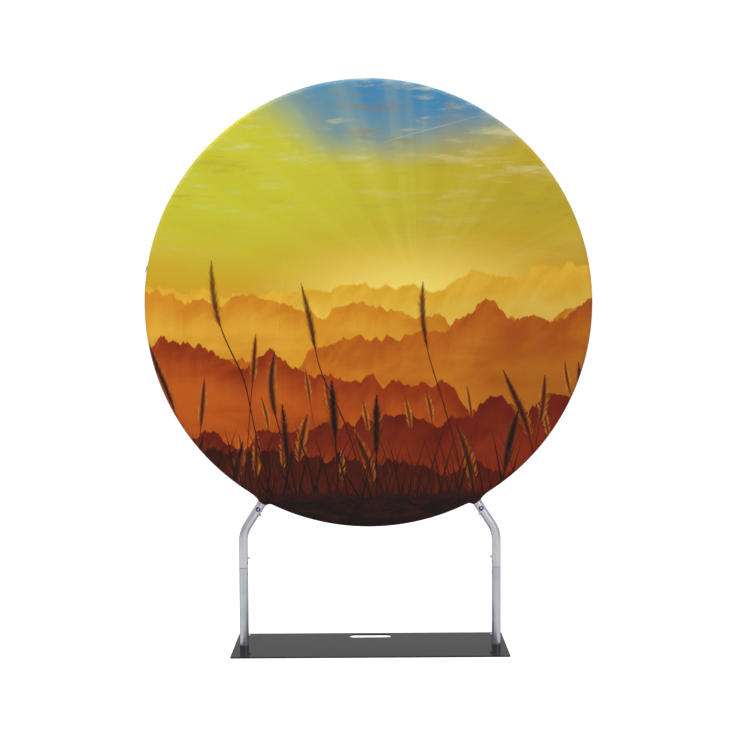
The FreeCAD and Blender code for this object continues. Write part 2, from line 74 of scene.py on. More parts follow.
# Sizes in metres and angles that the part's source gives
RING_RADIUS = 0.729
TUBE_RADIUS = 0.015
COVER_RADIUS = 0.0161  # outer face of the cover above the ring's centreline
SEAM_ANGLE = math.radians(30)
LEG_LEAN = math.radians(33)
NECK_BARE = 0.007
NECK_LENGTH = 0.0088
NECK_RADIUS = 0.0159
FLARE_WIDTH = 0.016
FLARE_DEPTH = 0.0035
LABEL_RADIUS = 0.01
LABEL_GAP = 0.00002
LABEL_FILM = 0.00015
TOP_LABEL = 0.017
MIDDLE_LABEL = 0.018
ZIP_TOP = math.radians(170.3)
ZIP_TRAVEL = math.radians(66)
ZIP_END = math.radians(1.4)
CHAIN_LOW = 0.0175
CHAIN_HEIGHT = 0.0016

# Cloth of the cover
CLOTH = 0.0006
KNIT_ROW = 0.0011
KNIT_WALE = 0.0009
FACE_RINGS = 76
FACE_CROWDING = 0.85  # below 1, the rings of points lie closer together towards the rim
RIM_RINGS = 14
RIM_STEP = 1.0  # degrees between points round the rim
FINE_STEP = 0.2  # degrees between them at a neck
FINE_SPAN = 8  # degrees to each side of a neck
SWELL_HEIGHT = 0.0005
SWELL_SCALE = 5
SWELL_SHIFT = 3.7  # gives each face swells of its own
CREASE_HEIGHT = 0.0011
CREASE_COUNT = 11  # creases that would go round a neck in a full turn
CREASE_PHASE = 1.3
CREASE_REACH = 0.05
CREASE_SPREAD = 0.06
TAUT_EDGE = 0.02  # band inside the ring over which the cloth comes to lie tight
PUCKER_HEIGHT = 0.00012
PUCKER_COUNT = 420  # puckers along the seam in a full turn
PUCKER_START = 0.6  # share of the way round the rim to the seam

# Necks of the cover
FLARE_OUTER = 0.044  # the cloth is drawn out further on the outer side of a neck
FLARE_CURVE = 2.2
NECK_ZONE = RING_RADIUS / 4  # how far from a stub the rim is drawn out
STUB_ZONE = RING_RADIUS / 8  # how far along a stub the cloth is cut out
STUB_SHARE = 0.96  # share of the tube's radius that is cut out
HEM = [(0.0004, -0.0003), (0.0, 0.0), (0.0012, 0.0003), (0.0022, 0.0001)]  # height, thickness
COLLAR_POINTS = 19  # in each round end
COLLAR_LEVELS = 10
COLLAR_TUCK = (0.3, 0.6, 1.0)  # rows inside the cover, as shares of its radius
COLLAR_FLARE = 0.005
COLLAR_WAVE = 0.004
COLLAR_WAVE_TURN = 1.7

# Stitches and ridge of the seam
NECK_CLEAR = math.radians(3.4)  # the seam stops this far from a neck
STITCH_PITCH = 0.0042
STITCH_SHARE = 0.75
STITCH_WIDTH = 0.0006
STITCH_HEIGHT = 0.0002
STITCH_OFFSET = 0.0036
WELT_SHAPE = [  # across the seam and above the cover
    (-0.0014, 0.0), (-0.0009, 0.0004), (-0.0002, 0.0005), (0.0, 0.0003),
    (0.0002, 0.0005), (0.0009, 0.0004), (0.0014, 0.0),
]
WELT_STEPS = 720
WELT_WAVE = 0.12
WELT_WAVE_TURN = 2.4
WELT_FADE = 5  # steps over which the ridge runs out
WELT_TIP = 0.1

# Coil of the zip
TOOTH_PITCH = 0.0015
TOOTH_WIDTH = 0.0009
TOOTH_SHAPE = [  # across the seam, share of the chain's height
    (-0.0027, 0.3), (-0.0024, 1.0), (0.0, 1.0), (0.00035, 0.75),
    (0.00035, 0.25), (0.0, 0.0), (-0.0024, 0.0), (-0.0027, 0.15),
]
TOOTH_PLACES = {1: 0.3, -1: 0.8}  # share of the pitch at which the teeth of each side lie
TAPE_INNER = 0.0001
TAPE_OUTER = 0.001
TAPE_LIFT = 0.00005
TAPE_STEPS = 140

# Labels and springs
LABEL_RINGS = 7
LABEL_TURNS = 40
TOP_NUMBERS = {"left": "3", "right": "4"}
MIDDLE_NUMBERS = {"left": "1", "right": "2"}
NUMBER_SIZE = 0.015
NUMBER_STRIP = 0.0004
NUMBER_WELD = 0.000001
INK_TOP = 0.00003  # above the film
INK_THICKNESS = 0.000024

# Floor, lamps and camera
FLOOR_HALF = 30
FLOOR_DROP = 0.0005
LAMPS = [  # name, place, aim, size, power, whether metal mirrors it
    ("key", (-2.6, -3.0, 3.4), (0, 0, 1.0), (2.2, 2.2), 80, True),
    ("fill", (2.8, -3.4, 1.8), (0, 0, 1.0), (2.0, 2.4), 46, True),
    ("top", (0.1, -0.3, 4.2), (0, 0, 1.2), (3.0, 1.2), 50, True),
    ("back", (0.8, 3.3, 3.6), (0, 0, 1.0), (3.0, 2.2), 120, False),
]
CAMERA_PLACE = (0.0044, -4.2938, 1.1492)
CAMERA_ANGLES = (-3.123, -0.210, -0.283)  # tilt, turn and roll in degrees
CAMERA_SENSOR = 36  # millimetres, as is the lens
CAMERA_LENS = 61.806

# Places worked out from the frame
_, front_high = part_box("cover_front_panel")
CENTRE = Vector((0, 0, front_high.z - RING_RADIUS - COVER_RADIUS))
DISC_RADIUS = RING_RADIUS + COVER_RADIUS
FRONT_SWEEP = math.pi / 2 + SEAM_ANGLE  # from each face round the rim to the seam
BACK_SWEEP = math.pi / 2 - SEAM_ANGLE
leg_low, leg_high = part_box("lower_leg_right")
LEG_X = (leg_low.x + leg_high.x) / 2
MIDDLE_JOINT_Z = leg_high.z
SIDES = {"left": -1, "right": 1}


def leg_direction(sign):
    """Way up the leaning part of a leg."""
    return Vector((-sign * math.sin(LEG_LEAN), 0, math.cos(LEG_LEAN)))


def upper_joint(sign):
    """Middle of the upper end of a leg, where its stub goes in."""
    low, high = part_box("upper_leg_right")
    top = high.z - TUBE_RADIUS * math.sin(LEG_LEAN)
    edge = low.x + TUBE_RADIUS * math.cos(LEG_LEAN)
    return Vector((sign * edge, 0, top))


JOINTS = {side: upper_joint(sign) for side, sign in SIDES.items()}


def srgb(*display):
    """Linear colour with alpha from display values of 0 to 255."""
    linear = []
    for value in display:
        share = value / 255
        linear.append(share / 12.92 if share <= 0.04045 else ((share + 0.055) / 1.055) ** 2.4)
    return (*linear, 1)


class Tree:
    """Short way to write a node tree: sockets and constants mix freely as inputs."""

    def __init__(self, tree):
        self.tree = tree

    def node(self, kind, inputs=(), **settings):
        made = self.tree.nodes.new(kind)
        for key, value in settings.items():
            setattr(made, key, value)
        for key, value in dict(inputs).items():
            self.feed(made.inputs[key], value)
        return made

    def feed(self, socket, value):
        if isinstance(value, bpy.types.NodeSocket):
            self.tree.links.new(value, socket)
        else:
            socket.default_value = value

    def math(self, operation, a, b=0.0, clamp=False):
        made = self.node("ShaderNodeMath", {0: a, 1: b}, operation=operation, use_clamp=clamp)
        return made.outputs[0]

    def add(self, *values):
        total = values[0]
        for value in values[1:]:
            total = self.math("ADD", total, value)
        return total

    def times(self, *values):
        total = values[0]
        for value in values[1:]:
            total = self.math("MULTIPLY", total, value)
        return total

    def mix(self, factor, a, b):
        made = self.node("ShaderNodeMix", {0: factor, 6: a, 7: b}, data_type="RGBA")
        return made.outputs[2]

    def span(self, value, low, high, to_low=0.0, to_high=1.0, smooth=True):
        """Value mapped from low..high, clamped, with soft ends."""
        made = self.node(
            "ShaderNodeMapRange", {0: value, 1: low, 2: high, 3: to_low, 4: to_high},
            interpolation_type="SMOOTHSTEP" if smooth else "LINEAR",
        )
        return made.outputs[0]

    def noise(self, vector, scale, detail=3.0, roughness=0.5, dimensions="3D"):
        key = "W" if dimensions == "1D" else "Vector"
        made = self.node(
            "ShaderNodeTexNoise", {key: vector, "Scale": scale, "Detail": detail, "Roughness": roughness},
            noise_dimensions=dimensions,
        )
        return made.outputs[0]

    def place(self):
        return self.node("ShaderNodeTexCoord").outputs["Object"]

    def moved(self, vector, scale=(1, 1, 1), turn=(0, 0, 0), shift=(0, 0, 0)):
        made = self.node(
            "ShaderNodeMapping", {"Vector": vector, "Scale": scale, "Rotation": turn, "Location": shift},
        )
        return made.outputs[0]

    def parts(self, vector):
        made = self.node("ShaderNodeSeparateXYZ", {0: vector})
        return made.outputs

    def joined(self, x, y, z):
        return self.node("ShaderNodeCombineXYZ", {0: x, 1: y, 2: z}).outputs[0]

    def bump(self, height, strength, distance):
        made = self.node("ShaderNodeBump", {"Height": height, "Strength": strength, "Distance": distance})
        return made.outputs[0]


def material(name):
    made = bpy.data.materials.new(name)
    made.use_nodes = True
    tree = Tree(made.node_tree)
    return made, tree, made.node_tree.nodes["Principled BSDF"]


def finish_shader(tree, shader, values):
    for key, value in values.items():
        tree.feed(shader.inputs[key], value)


def black_plate():
    """Semi-gloss black coat: fine orange peel, faint wipe marks, worn grey along the outer edges."""
    made, t, shader = material("black_plate")
    _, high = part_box("base_plate")
    place = t.place()
    x, y, z = t.parts(place)[0:3]
    smears = t.noise(t.moved(place, scale=(3, 14, 3)), 3.0, 4.0)
    dust = t.noise(place, 900.0, 2.0)
    peel = t.noise(place, 420.0, 2.0)
    rubbed = t.noise(place, 130.0, 4.0, 0.7)
    side_gap = t.math("SUBTRACT", high.x, t.math("ABSOLUTE", x))
    end_gap = t.math("SUBTRACT", high.y, t.math("ABSOLUTE", y))
    edge = t.add(t.math("MINIMUM", side_gap, end_gap), t.math("ABSOLUTE", t.math("SUBTRACT", high.z, z)))
    wear = t.times(t.span(edge, 0.0014, 0.0004), t.span(rubbed, 0.5, 0.68))
    colour = t.mix(t.span(dust, 0.6, 0.8), srgb(26, 26, 28), srgb(40, 40, 42))
    colour = t.mix(wear, colour, srgb(82, 82, 84))
    finish_shader(t, shader, {
        "Base Color": colour,
        "Roughness": t.span(smears, 0.3, 0.75, 0.1, 0.15),
        "Specular IOR Level": 0.028,
        "Normal": t.bump(peel, 0.06, 0.0003),
    })
    return made


TUBE_EDGE_SHADE_TINT = (0.1, 0.1, 0.11, 1)  # painted shade: dark tint of the metal's reflection where it is seen edge on, which darkens the tube's outlines


def drawn_metal(name, tint, dark, rough):
    """Drawn and anodised tube: faint lines along its length, handling marks, a darker band at the middle
    joint, painted shade along its outlines.
    """
    made, t, shader = material(name)
    place = t.place()
    lines = t.noise(t.moved(place, scale=(1, 1, 0.006)), 1100.0, 3.0, 0.6)
    clouds = t.noise(place, 14.0, 4.0)
    scuffs = t.noise(t.moved(place, scale=(1, 1, 0.25)), 260.0, 4.0, 0.6)
    colour = t.mix(t.span(clouds, 0.35, 0.7), tint, dark)
    colour = t.mix(t.span(scuffs, 0.62, 0.8, 0.0, 0.5), colour, dark)
    # darker band round the middle joint
    off_joint = t.math("ABSOLUTE", t.math("SUBTRACT", t.parts(place)[2], MIDDLE_JOINT_Z))
    colour = t.mix(t.span(off_joint, 0.002, 0.0004, 0.0, 0.5), colour, srgb(88, 88, 94))
    line_rough = t.span(lines, 0.3, 0.7, rough - 0.03, rough + 0.03)
    finish_shader(t, shader, {
        "Base Color": colour,
        "Metallic": 0.85,
        # painted shade: the reflection is darkened where the tube is seen edge on
        "Specular Tint": TUBE_EDGE_SHADE_TINT,
        "Roughness": t.add(line_rough, t.span(clouds, 0.3, 0.7, 0, 0.05)),
        "Normal": t.bump(lines, 0.03, 0.0001),
    })
    return made


def worn_metal(name, tint, dark, rough):
    """Turned or pressed metal with a fine grain and dull spots."""
    made, t, shader = material(name)
    place = t.place()
    spots = t.noise(place, 160.0, 3.0)
    fine = t.noise(place, 600.0, 3.0)
    finish_shader(t, shader, {
        "Base Color": t.mix(t.span(spots, 0.4, 0.7), tint, dark),
        "Metallic": 1.0,
        "Roughness": t.span(fine, 0.3, 0.7, rough - 0.06, rough + 0.1),
        "Normal": t.bump(fine, 0.1, 0.0001),
    })
    return made


def ridge(t, u, v, base, slope, height, frequency, seed, soft):
    """Mask of one hill below a broken ridge line, and the depth below that line."""
    profile = t.noise(t.add(t.times(u, frequency), seed), 1.0, 8.0, 0.56, "1D")
    line = t.add(base, t.times(u, slope), t.times(t.math("SUBTRACT", profile, 0.5), height))
    depth = t.math("SUBTRACT", line, v)
    return t.span(depth, 0.0, soft), depth


def hill_shade(t, u, v, depth, seed, crest, foot, haze):
    """Colour of a hill: dark crest, spurs running down its side, mist gathered at its foot."""
    run = t.add(t.times(u, 9.0), t.times(depth, 7.0))
    spurs = t.noise(t.joined(run, t.times(v, 5.0), seed), 1.0, 6.0, 0.6)
    woods = t.noise(t.joined(t.times(u, 70.0), t.times(v, 46.0), seed), 1.0, 3.0, 0.6)
    mist = t.noise(t.joined(t.times(u, 2.2), t.times(v, 6.0), seed + 3), 1.0, 4.0, 0.55)
    side = t.mix(t.span(spurs, 0.38, 0.62), crest, foot)
    side = t.mix(t.span(woods, 0.52, 0.72, 0.0, 0.4), side, crest)
    return t.mix(t.times(t.span(depth, 0.0, 0.2), t.span(mist, 0.3, 0.62, 0.35, 1.0)), side, haze)


def stalks(t, u, v, frequency, seed, foot, tall, tilt):
    """One bending stalk to a cell: distance off its middle, its height and its random numbers."""
    rise = t.math("SUBTRACT", v, foot)
    wander = t.noise(t.joined(t.times(u, 1.6), t.times(v, 0.5), seed), 1.0, 2.0)
    bend = t.times(t.add(t.math("SUBTRACT", wander, 0.5), tilt), rise, rise)
    across = t.add(t.times(t.add(u, t.times(rise, tilt * 0.4), bend), frequency), seed)
    cells = t.node(
        "ShaderNodeTexVoronoi", {"W": across, "Scale": 1.0, "Randomness": 0.95}, voronoi_dimensions="1D",
    )
    chance = t.parts(cells.outputs["Color"])
    off = t.math("DIVIDE", t.math("SUBTRACT", across, cells.outputs["W"]), frequency)
    height = t.add(foot, t.times(t.add(t.times(chance[0], 0.65), 0.35), tall))
    return off, height, chance


def blades(t, u, v, frequency, seed, foot, tall, width, tilt):
    """Mask of grass blades that taper to a point."""
    off, height, _ = stalks(t, u, v, frequency, seed, foot, tall, tilt)
    left = t.math("DIVIDE", t.math("SUBTRACT", height, v), tall, clamp=True)
    reach = t.times(t.math("POWER", left, 0.7), width)
    return t.span(t.math("SUBTRACT", reach, t.math("ABSOLUTE", off)), 0.0, width * 0.3)


def plumes(t, u, v, frequency, seed, foot, tall, head, width, tilt):
    """Masks of feathery grass plumes: all of them, and the lit fringe of their nodding heads."""
    off, height, chance = stalks(t, u, v, frequency, seed, foot, tall, tilt)
    below = t.math("SUBTRACT", height, v)
    along = t.math("DIVIDE", below, head, clamp=True)
    tip = t.math("SUBTRACT", 1.0, along)
    nod = t.times(tip, tip, t.math("SUBTRACT", chance[1], 0.5), width * 2.4)
    off = t.math("SUBTRACT", off, nod)
    gap = t.math("ABSOLUTE", off)
    grown = t.math("GREATER_THAN", chance[2], 0.3)
    stem = t.times(t.span(gap, width * 0.09, width * 0.05), t.math("GREATER_THAN", below, 0.0))
    swell = t.times(t.math("POWER", along, 0.6), t.math("POWER", tip, 0.5), 2.0 * width)
    strand = t.add(below, t.times(gap, 1.7))
    feather_at = t.joined(t.times(strand, 5.5 / width), t.times(off, 0.9 / width), t.times(chance[1], 30.0))
    feather = t.noise(feather_at, 1.0, 4.0, 0.75)
    reach = t.times(swell, t.span(feather, 0.3, 0.7, 0.15, 1.3, smooth=False))
    plume = t.span(t.math("SUBTRACT", reach, gap), 0.0, width * 0.3)
    fringe = t.times(plume, t.span(t.math("DIVIDE", gap, t.add(swell, 0.0001)), 0.1, 0.8))
    return t.times(t.math("MAXIMUM", stem, plume), grown), fringe


def evening_sky(t, u, v, flat):
    """Yellow sky with a low glow, rays fanning out of it, and blue between thin clouds overhead."""
    drift = t.noise(flat, 1.5, 4.0)
    sky = t.mix(t.span(t.add(u, t.times(drift, 0.5)), -0.2, 1.0), srgb(199, 195, 50), srgb(188, 164, 44))
    low = t.span(t.add(v, t.times(drift, 0.3)), 0.62, 0.05)
    sky = t.mix(low, sky, srgb(214, 150, 28))
    over_u = t.math("DIVIDE", t.math("SUBTRACT", u, 0.16), 0.78)
    over_v = t.math("DIVIDE", t.math("SUBTRACT", v, 1.06), 0.46)
    ragged = t.times(t.math("SUBTRACT", drift, 0.5), 1.1)
    over = t.add(t.times(over_u, over_u), t.times(over_v, over_v), ragged)
    sky = t.mix(t.span(over, 1.15, 0.1), sky, srgb(58, 132, 176))

    # Rays out of the glow
    glow_u = t.math("SUBTRACT", u, 0.22)
    glow_v = t.math("SUBTRACT", v, 0.02)
    bearing = t.math("ARCTAN2", glow_v, glow_u)
    fan = t.noise(t.times(bearing, 4.0), 1.0, 3.0, 0.5, "1D")
    rays = t.times(t.span(fan, 0.42, 0.75, 0.0, 0.16), t.span(v, 0.0, 0.35))
    sky = t.mix(rays, sky, srgb(226, 214, 96))
    sky = t.mix(t.times(t.span(fan, 0.5, 0.25, 0.0, 0.14), t.span(v, 0.05, 0.4)), sky, srgb(176, 140, 36))

    # Clouds
    veil = t.noise(t.moved(flat, scale=(1.0, 4.2, 1), turn=(0, 0, math.radians(-12))), 2.1, 9.0, 0.62)
    wisps = t.noise(t.moved(flat, scale=(1.6, 9.0, 1), turn=(0, 0, math.radians(-16))), 2.6, 8.0, 0.66)
    cover = t.add(t.times(veil, 0.6), t.times(wisps, 0.4))
    sky = t.mix(t.times(t.span(cover, 0.5, 0.66), t.span(v, 0.25, 0.8, 0.15, 0.75)), sky, srgb(216, 206, 150))
    sky = t.mix(t.times(t.span(cover, 0.46, 0.36), t.span(v, 0.2, 0.6, 0.0, 0.35)), sky, srgb(150, 118, 40))

    near = t.math("SQRT", t.add(t.times(glow_u, glow_u, 0.5), t.times(glow_v, glow_v, 3.2)))
    return t.mix(t.span(near, 0.62, 0.0, 0.0, 0.95), sky, srgb(250, 228, 112))


# Motifs of the print, in shares of the disc's radius, with colours as display values
HILLS = [  # base, slope, height, frequency, seed, softness of the edge, crest, foot, haze
    (0.10, 0.06, 0.40, 1.6, 3.1, 0.014, (222, 166, 40), (230, 182, 56), (240, 204, 84)),
    (-0.02, -0.08, 0.46, 1.9, 11.7, 0.010, (206, 126, 26), (218, 146, 36), (232, 176, 56)),
    (-0.15, 0.14, 0.44, 2.3, 23.4, 0.008, (178, 84, 20), (196, 104, 26), (220, 138, 36)),
    (-0.33, -0.16, 0.42, 2.8, 31.9, 0.006, (140, 46, 16), (162, 62, 20), (196, 92, 26)),
    (-0.52, 0.12, 0.34, 3.5, 47.3, 0.006, (92, 26, 16), (116, 36, 18), (150, 56, 22)),
    (-0.70, -0.08, 0.26, 4.4, 59.2, 0.006, (52, 20, 16), (70, 25, 17), (92, 32, 18)),
]
PLUMES = [  # frequency, seed, foot, tallest, head, width, tilt, ink, lit fringe
    (11.0, 5.3, -0.86, 0.62, 0.15, 0.020, 0.10, (112, 42, 18), (236, 160, 56)),
    (6.0, 41.2, -0.92, 0.86, 0.22, 0.030, -0.14, (84, 32, 17), (226, 140, 46)),
    (4.4, 17.9, -0.95, 1.18, 0.30, 0.042, 0.16, (62, 26, 16), (214, 122, 36)),
    (5.2, 31.4, -1.05, 0.92, 0.27, 0.040, -0.10, (32, 18, 16), (150, 66, 26)),
]
BLADES = [  # frequency, seed, foot, tallest, width, tilt, ink
    (34.0, 2.7, -0.92, 0.46, 0.008, 0.34, (84, 30, 17)),
    (30.0, 9.1, -0.96, 0.50, 0.009, -0.40, (62, 25, 16)),
    (26.0, 21.8, -1.00, 0.52, 0.011, 0.22, (44, 20, 16)),
    (28.0, 27.3, -1.02, 0.46, 0.012, -0.24, (34, 18, 16)),
    (32.0, 15.6, -1.05, 0.38, 0.012, 0.50, (27, 17, 17)),
]
FOLDS = [  # middle across and up, turn in degrees, half length, strength
    (0.277, 0.773, 15.0, 0.32, 1.0),
    (-0.40, -0.05, 84.0, 0.50, 0.25),
    (0.07, 0.30, 4.0, 0.60, 0.2),
]
FOLD_WIDTH = 0.004


def printed_fabric(name, mirror):
    """Knit stretch fabric printed with plumed grass in front of misty hills at evening."""
    made, t, shader = material(name)
    place = t.place()
    x, _, z = t.parts(place)[0:3]
    u = t.times(x, mirror / DISC_RADIUS)
    v = t.math("DIVIDE", t.math("SUBTRACT", z, CENTRE.z), DISC_RADIUS)
    flat = t.joined(u, v, 0.0)
    print_colour = evening_sky(t, u, v, flat)
    for base, slope, height, frequency, seed, soft, crest, foot, haze in HILLS:
        mask, depth = ridge(t, u, v, base, slope, height, frequency, seed, soft)
        shade = hill_shade(t, u, v, depth, seed, srgb(*crest), srgb(*foot), srgb(*haze))
        print_colour = t.mix(mask, print_colour, shade)
    dusk = t.times(t.span(u, -0.1, 0.9), t.span(v, 0.35, -0.45), 0.55)
    print_colour = t.mix(dusk, print_colour, srgb(112, 28, 12))
    for frequency, seed, foot, tall, head, width, tilt, ink, lit in PLUMES:
        mask, fringe = plumes(t, u, v, frequency, seed, foot, tall, head, width, tilt)
        stroke = t.times(mask, t.span(v, 0.3, -0.3, 0.8, 1.0))
        print_colour = t.mix(stroke, print_colour, t.mix(fringe, srgb(*ink), srgb(*lit)))
    for frequency, seed, foot, tall, width, tilt, ink in BLADES:
        mask = blades(t, u, v, frequency, seed, foot, tall, width, tilt)
        print_colour = t.mix(mask, print_colour, srgb(*ink))
    ground = t.noise(t.joined(t.times(u, 9.0), t.times(v, 24.0), 0.0), 1.0, 6.0, 0.65)
    ground_line = t.add(t.times(ground, 0.2), -0.92)
    soil = t.mix(t.span(ground, 0.42, 0.62), srgb(27, 17, 17), srgb(50, 24, 20))
    print_colour = t.mix(t.span(t.math("SUBTRACT", ground_line, v), 0.0, 0.05), print_colour, soil)

    # Fold lines left from packing
    fold = 0.0
    for fold_u, fold_v, turn, half_length, strength in FOLDS:
        at = t.moved(flat, shift=(-fold_u, -fold_v, 0))
        at = t.parts(t.moved(at, turn=(0, 0, -math.radians(turn))))
        line = t.span(t.math("ABSOLUTE", at[1]), FOLD_WIDTH, 0.0)
        fold = t.add(t.times(line, t.span(t.math("ABSOLUTE", at[0]), half_length, 0.0), strength), fold)
    # painted highlight: the cloth is paled along each fold line, where the crease would catch the light
    print_colour = t.mix(t.times(fold, 0.22), print_colour, srgb(240, 234, 196))

    # Knit: loops in rows, print grain, a soft sheen
    rows = t.math("SINE", t.times(z, 2 * math.pi / KNIT_ROW))
    wales = t.math("SINE", t.times(x, 2 * math.pi / KNIT_WALE))
    loops = t.times(rows, wales)
    grain = t.noise(place, 420.0, 2.0, 0.6)
    finish_shader(t, shader, {
        "Base Color": t.mix(t.span(grain, 0.35, 0.7, 0.0, 0.07), print_colour, srgb(24, 14, 10)),
        "Roughness": t.span(loops, -1.0, 1.0, 0.66, 0.8),
        "Specular IOR Level": 0.12,
        "Sheen Weight": 0.05,
        "Sheen Roughness": 0.45,
        "Normal": t.bump(t.add(loops, t.times(fold, 6.0)), 0.15, 0.0002),
    })
    return made


def plain_thread(name, tint, dark):
    """Sewing thread, zip coil or printed ink: matt, with a fine grain."""
    made, t, shader = material(name)
    twist = t.noise(t.place(), 1400.0, 2.0)
    finish_shader(t, shader, {
        "Base Color": t.mix(t.span(twist, 0.35, 0.65), tint, dark),
        "Roughness": 0.7,
        "Normal": t.bump(twist, 0.3, 0.0001),
    })
    return made


def label_film():
    """Round film label: blue disc with a pale rim, worn by handling."""
    made, t, shader = material("label_film")
    middle = t.node("ShaderNodeUVMap", uv_map="label").outputs[0]
    u, v = t.parts(middle)[0:2]
    reach = t.math("SQRT", t.add(t.times(u, u), t.times(v, v)))
    scuffs = t.noise(t.place(), 420.0, 4.0, 0.6)
    blue = t.mix(t.span(scuffs, 0.4, 0.75), srgb(14, 30, 92), srgb(28, 50, 120))
    white = t.mix(t.span(scuffs, 0.35, 0.7), srgb(226, 230, 236), srgb(200, 204, 212))
    finish_shader(t, shader, {
        "Base Color": t.mix(t.span(reach, 0.84, 0.88), blue, white),
        "Roughness": t.span(scuffs, 0.3, 0.7, 0.28, 0.42),
        "Specular IOR Level": 0.3,
    })
    return made


def add_object(name, data):
    made = bpy.data.objects.new(name, data)
    bpy.context.scene.collection.objects.link(made)
    return made


def mesh_piece(name, verts, faces, finish, smooth=True):
    mesh = bpy.data.meshes.new(name)
    mesh.from_pydata([tuple(p) for p in verts], [], faces)
    mesh.validate()
    mesh.polygons.foreach_set("use_smooth", [smooth] * len(mesh.polygons))
    mesh.materials.append(finish)
    return add_object(name, mesh)


def thicken(piece, name, thickness):
    """Give a sheet its thickness, inwards from its outer face."""
    layer = piece.modifiers.new(name, "SOLIDIFY")
    layer.thickness = thickness
    layer.offset = -1


def band(low, high, count, other_way=False):
    """Faces between two closed rows of points, each row given by its first point."""
    faces = []
    for i in range(count):
        after = (i + 1) % count
        corners = (low + i, low + after, high + after, high + i)
        faces.append((corners[0], *reversed(corners[1:])) if other_way else corners)
    return faces


def turned(faces):
    """The same faces, looking the other way."""
    return [tuple(reversed(face)) for face in faces]


def polar(angle):
    return Vector((math.cos(angle), 0, math.sin(angle)))


def neck_frame(side):
    """Start, way up the stub and way across it towards the middle of the banner."""
    sign = SIDES[side]
    across = Vector((-sign * math.cos(LEG_LEAN), 0, -math.sin(LEG_LEAN)))
    return JOINTS[side], leg_direction(sign), across


def neck_angle(side):
    """Angle of the rim at which a stub goes through it."""
    start, up, _ = neck_frame(side)
    touch = start + up * (NECK_BARE + NECK_LENGTH) - CENTRE
    return math.atan2(touch.z, touch.x)


NECK_ANGLES = {side: neck_angle(side) for side in SIDES}


def slack_at(angle, radius, way):
    """How far the stretched cloth stands off its flat place, outwards, at a point of a face."""
    spot = polar(angle) * radius
    swell_at = Vector((spot.x * SWELL_SCALE, way * SWELL_SHIFT, spot.z * SWELL_SCALE))
    lift = SWELL_HEIGHT * noise.noise(swell_at)
    for neck in NECK_ANGLES.values():
        off = spot - polar(neck) * RING_RADIUS
        bearing = math.atan2(off.z, off.x)
        fade = math.exp(-((off.length - CREASE_REACH) / CREASE_SPREAD) ** 2)
        lift += CREASE_HEIGHT * math.sin(bearing * CREASE_COUNT + CREASE_PHASE) * fade
    return lift * min(1.0, max(0.0, (RING_RADIUS - radius) / TAUT_EDGE))


def neck_pull(angle):
    """How the rim is drawn out towards a neck at an angle of the rim."""
    tip = CENTRE + polar(angle) * DISC_RADIUS
    for side in SIDES:
        start, up, across = neck_frame(side)
        off = (tip - start).dot(across)
        width = FLARE_WIDTH if off > 0 else FLARE_OUTER
        share = max(0.0, (abs(off) - NECK_RADIUS) / width)
        if (tip - start).length < NECK_ZONE and share < 1:
            return up * ((NECK_BARE - (tip - start).dot(up)) * (1 - share) ** FLARE_CURVE)
    return Vector((0, 0, 0))


def in_stub(point):
    """Whether a point lies where a stub goes through the cover."""
    for side in SIDES:
        start, up, _ = neck_frame(side)
        off = point - start
        rise = off.dot(up)
        if abs(rise) < STUB_ZONE and (off - up * rise).length < TUBE_RADIUS * STUB_SHARE:
            return True
    return False


def rim_angles():
    """Angles round the rim, close together at the necks."""
    steps = {round(k * RIM_STEP, 3) for k in range(round(360 / RIM_STEP))}
    for neck in NECK_ANGLES.values():
        first = round(math.degrees(neck) % 360) - FINE_SPAN
        count = round(2 * FINE_SPAN / FINE_STEP)
        steps |= {round(first + k * FINE_STEP, 3) for k in range(count + 1)}
    return [math.radians(a) for a in sorted(steps)]


def cover_panel(name, way, sweep, finish):
    """One face of the cover: flat over the ring, then round the rim to the seam, drawn out at the necks."""
    angles = rim_angles()
    turns = len(angles)
    pulls = [neck_pull(angle) for angle in angles]
    verts = [CENTRE + Vector((0, way * (COVER_RADIUS + slack_at(0, 0, way)), 0))]
    profile = [(RING_RADIUS * (k / FACE_RINGS) ** FACE_CROWDING, 0.0) for k in range(1, FACE_RINGS + 1)]
    profile += [(RING_RADIUS, sweep * k / RIM_RINGS) for k in range(1, RIM_RINGS + 1)]
    for radius, roll in profile:
        gather = max(0.0, roll / sweep - PUCKER_START) / (1 - PUCKER_START)
        for angle, pull in zip(angles, pulls):
            reach = COVER_RADIUS + PUCKER_HEIGHT * math.sin(angle * PUCKER_COUNT) * gather
            out = polar(angle) * (radius + reach * math.sin(roll)) + pull * math.sin(roll) ** 2
            depth = reach * math.cos(roll)
            if roll == 0:
                depth += slack_at(angle, radius, way)
            verts.append(CENTRE + out + Vector((0, way * depth, 0)))
    faces = [(0, 1 + (step + 1) % turns, 1 + step) for step in range(turns)]
    for ring in range(len(profile) - 1):
        low = 1 + ring * turns
        for face in band(low, low + turns, turns):
            middle = sum((verts[i] for i in face), Vector()) / len(face)
            if not in_stub(middle):
                faces.append(face)
    if way < 0:
        faces = turned(faces)
    return mesh_piece(name, verts, faces, finish)


def collar_section(reach, half_depth):
    """Points round a slot shape: two round ends with straight sides between them."""
    points = []
    for end in (1, -1):
        for step in range(COLLAR_POINTS):
            turn = math.pi * ((step + 0.5) / COLLAR_POINTS - 0.5)
            out = reach - half_depth + half_depth * math.cos(turn)
            points.append((end * out, end * half_depth * math.sin(turn)))
    return points


